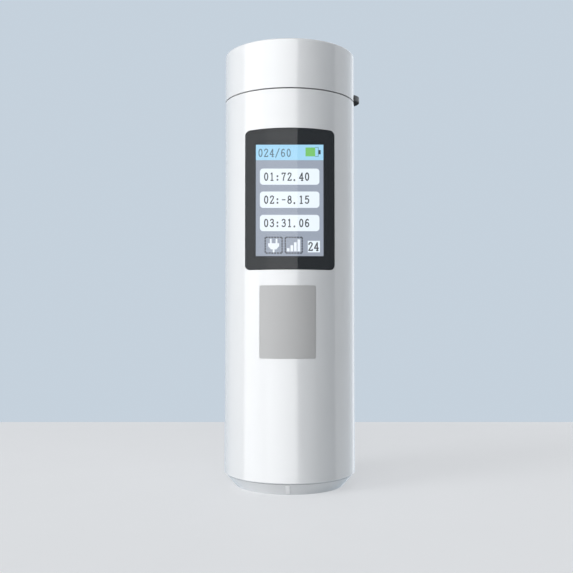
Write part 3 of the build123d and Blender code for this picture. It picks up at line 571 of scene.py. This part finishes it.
def draw_battery_outline(bm, y):
    stroke(bm, y, BATTERY_OUTLINE, BATTERY_LINE)


def draw_battery_nub(bm, y):
    rectangle(bm, y, *BATTERY_NUB)


def dashes(low, high):
    """Start and end of each dash along one side of an icon's box."""
    pitch = (high - low) / DASHES
    starts = [low + (k + DASH_START) * pitch for k in range(DASHES)]
    return [(a, a + DASH_FILL * pitch) for a in starts]


def draw_dashes(bm, y):
    for box in ICON_BOXES:
        for a, b in dashes(*box):
            for row in ICON_ROWS:
                stroke(bm, y, [(a, row), (b, row)], DASH_WIDTH)
        for a, b in dashes(*ICON_ROWS):
            for side in box:
                stroke(bm, y, [(side, a), (side, b)], DASH_WIDTH)


def draw_icons(bm, y):
    """A plug and four signal bars."""
    pin_foot = PLUG_Z + PLUG_BODY[0][1]
    polygon(bm, [(PLUG_X + px, PLUG_Z + pz) for px, pz in PLUG_BODY], y)
    for side in PLUG_PINS:
        middle = PLUG_X + side
        rectangle(bm, y, middle - PIN_HALF, middle + PIN_HALF, pin_foot, PLUG_Z + PIN_TOP)
    stroke(bm, y, [(PLUG_X + px, PLUG_Z + pz) for px, pz in PLUG_CORD], CORD_WIDTH)
    for k in range(BARS):
        left = BAR_LEFT + k * BAR_PITCH
        rectangle(bm, y, left, left + BAR_WIDTH, BAR_FOOT, BAR_TOP + k * BAR_STEP)


flat_piece("screen_body", lit("screen_slate", srgb(150, 158, 173)), 1, draw_base)
flat_piece("screen_header", lit("screen_sky", srgb(160, 214, 243)), 2, draw_header)
flat_piece("screen_fields", lit("screen_pale", srgb(238, 247, 255)), 2, draw_fields)
flat_piece("screen_dashes", lit("screen_dark", srgb(6, 8, 18)), 2, draw_dashes)
flat_piece("screen_icons", lit("screen_icon", srgb(238, 243, 250)), 2, draw_icons)
flat_piece("screen_header_text", lit("screen_teal", srgb(60, 86, 102)), 3, draw_header_text)
flat_piece("screen_field_text", lit("screen_ink", srgb(24, 24, 29)), 3, draw_field_text)
flat_piece("screen_battery_level", lit("screen_leaf", srgb(115, 195, 95)), 3,
           draw_battery_level)
flat_piece("screen_battery_outline", lit("screen_outline", srgb(90, 140, 150)), 3,
           draw_battery_outline)
flat_piece("screen_battery_nub", lit("screen_nub", srgb(8, 12, 15)), 3, draw_battery_nub)

# Floor and backdrop, in metres. FLOOR_GLOW is the glow's share of what the floor shows, and
# ROOM_LIGHT the strength of the room's own light
FLOOR_REACH = 2.5
FLOOR_BACK = 0.105
FLOOR_COLOURS = ((0.70, 0.715, 0.73), (0.72, 0.735, 0.75))
FLOOR_GLOW = 0.5
PALE = (0.95, 0.97, 1.0, 1)
BACKDROP = (0.56, 0.64, 0.72, 1)
ROOM_LIGHT = 0.01


def background_rays(tree):
    """1 for the rays that show the pale background: camera, glossy and transmission rays."""
    path = tree.nodes.new("ShaderNodeLightPath")
    shown = path.outputs["Is Camera Ray"]
    for ray in ("Is Glossy Ray", "Is Transmission Ray"):
        either = tree.nodes.new("ShaderNodeMath")
        either.operation = "MAXIMUM"
        tree.links.new(shown, either.inputs[0])
        tree.links.new(path.outputs[ray], either.inputs[1])
        shown = either.outputs["Value"]
    return shown


def pale_floor():
    """Plain pale floor that keeps the object's shadow and glows a little in the picture."""
    mat, tree, shader = tree_of("floor")
    tree.links.new(ramp(tree, grain(tree, FLOOR_CELLS), *FLOOR_COLOURS), shader.inputs["Base Color"])
    shader.inputs["Roughness"].default_value = 0.6
    glow = tree.nodes.new("ShaderNodeEmission")
    glow.inputs["Color"].default_value = PALE
    share = tree.nodes.new("ShaderNodeMath")
    share.operation = "MULTIPLY"
    share.inputs[1].default_value = FLOOR_GLOW
    tree.links.new(background_rays(tree), share.inputs[0])
    mix = tree.nodes.new("ShaderNodeMixShader")
    tree.links.new(share.outputs["Value"], mix.inputs["Fac"])
    tree.links.new(shader.outputs["BSDF"], mix.inputs[1])
    tree.links.new(glow.outputs["Emission"], mix.inputs[2])
    tree.links.new(mix.outputs["Shader"], tree.nodes["Material Output"].inputs["Surface"])
    return mat


def studio_world():
    """A dim room whose backdrop shows in the picture and in what mirrors or passes light."""
    world = bpy.data.worlds.new("studio")
    world.use_nodes = True
    tree = world.node_tree
    room = tree.nodes["Background"]
    room.inputs["Color"].default_value = PALE
    room.inputs["Strength"].default_value = ROOM_LIGHT
    backdrop = tree.nodes.new("ShaderNodeBackground")
    backdrop.inputs["Color"].default_value = BACKDROP
    mix = tree.nodes.new("ShaderNodeMixShader")
    tree.links.new(background_rays(tree), mix.inputs["Fac"])
    tree.links.new(room.outputs["Background"], mix.inputs[1])
    tree.links.new(backdrop.outputs["Background"], mix.inputs[2])
    tree.links.new(mix.outputs["Shader"], tree.nodes["World Output"].inputs["Surface"])
    return world


floor_mesh = bpy.data.meshes.new("floor")
floor_corners = [(-FLOOR_REACH, -FLOOR_REACH, 0), (FLOOR_REACH, -FLOOR_REACH, 0),
                 (FLOOR_REACH, FLOOR_BACK, 0), (-FLOOR_REACH, FLOOR_BACK, 0)]
floor_mesh.from_pydata(floor_corners, [], [(0, 1, 2, 3)])
floor = bpy.data.objects.new("floor", floor_mesh)
scene.collection.objects.link(floor)
floor_mesh.materials.append(pale_floor())
# The shell's light bands run down to its foot in the photograph, so it doesn't mirror the floor
floor.visible_glossy = False
scene.world = studio_world()


def card(name, azimuth, distance, height, size, radiance, mirrored=True):
    """An upright soft light facing the object. Azimuth 0 is in front and 90 at the right."""
    data = bpy.data.lights.new(name, "AREA")
    data.shape = "RECTANGLE"
    data.size, data.size_y = size
    data.energy = radiance * math.pi * size[0] * size[1]
    lamp = bpy.data.objects.new(name, data)
    a = math.radians(azimuth)
    lamp.location = (distance * math.sin(a), -distance * math.cos(a), height)
    aim = Vector((0, 0, height)) - lamp.location
    lamp.rotation_euler = aim.to_track_quat("-Z", "Y").to_euler()
    lamp.visible_glossy = mirrored
    scene.collection.objects.link(lamp)


def overhead_card(height, size, radiance):
    """A small soft light high above, for the top face, the floor and a shadow at the foot."""
    data = bpy.data.lights.new("overhead_card", "AREA")
    data.size = size
    data.energy = radiance * math.pi * size * size
    lamp = bpy.data.objects.new("overhead_card", data)
    lamp.location = (0, 0, height)
    lamp.visible_glossy = False
    scene.collection.objects.link(lamp)


card("key_card", azimuth=-36, distance=0.60, height=0.325, size=(1.385, 1.05), radiance=1.032)
card("centre_card", azimuth=-13, distance=0.60, height=0.325, size=(0.60, 1.05), radiance=0.316)
card("shaping_card", azimuth=-60, distance=0.80, height=0.26, size=(0.30, 0.4), radiance=8.925,
     mirrored=False)
card("side_card", azimuth=121, distance=0.50, height=0.30, size=(0.70, 1.0), radiance=0.438)
card("right_edge_card", azimuth=162, distance=0.50, height=0.30, size=(0.29, 1.0), radiance=0.210)
overhead_card(height=1.0, size=0.35, radiance=4.0)

# Camera at the photograph's angle, from the fitted pinhole view, in metres and degrees
CAMERA_PLACE = (-0.00076, -0.19349, 0.04092)
CAMERA_RISE = 1.749
SENSOR_WIDTH, FOCAL_LENGTH = 36, 50.58
NEAREST_SEEN = 0.01
camera_data = bpy.data.cameras.new("camera")
camera_data.sensor_width = SENSOR_WIDTH
camera_data.lens = FOCAL_LENGTH
camera_data.clip_start = NEAREST_SEEN
camera = bpy.data.objects.new("camera", camera_data)
camera.location = CAMERA_PLACE
camera.rotation_euler = (math.radians(90 + CAMERA_RISE), 0, 0)
scene.collection.objects.link(camera)
scene.camera = camera

scene.view_settings.view_transform = "Standard"
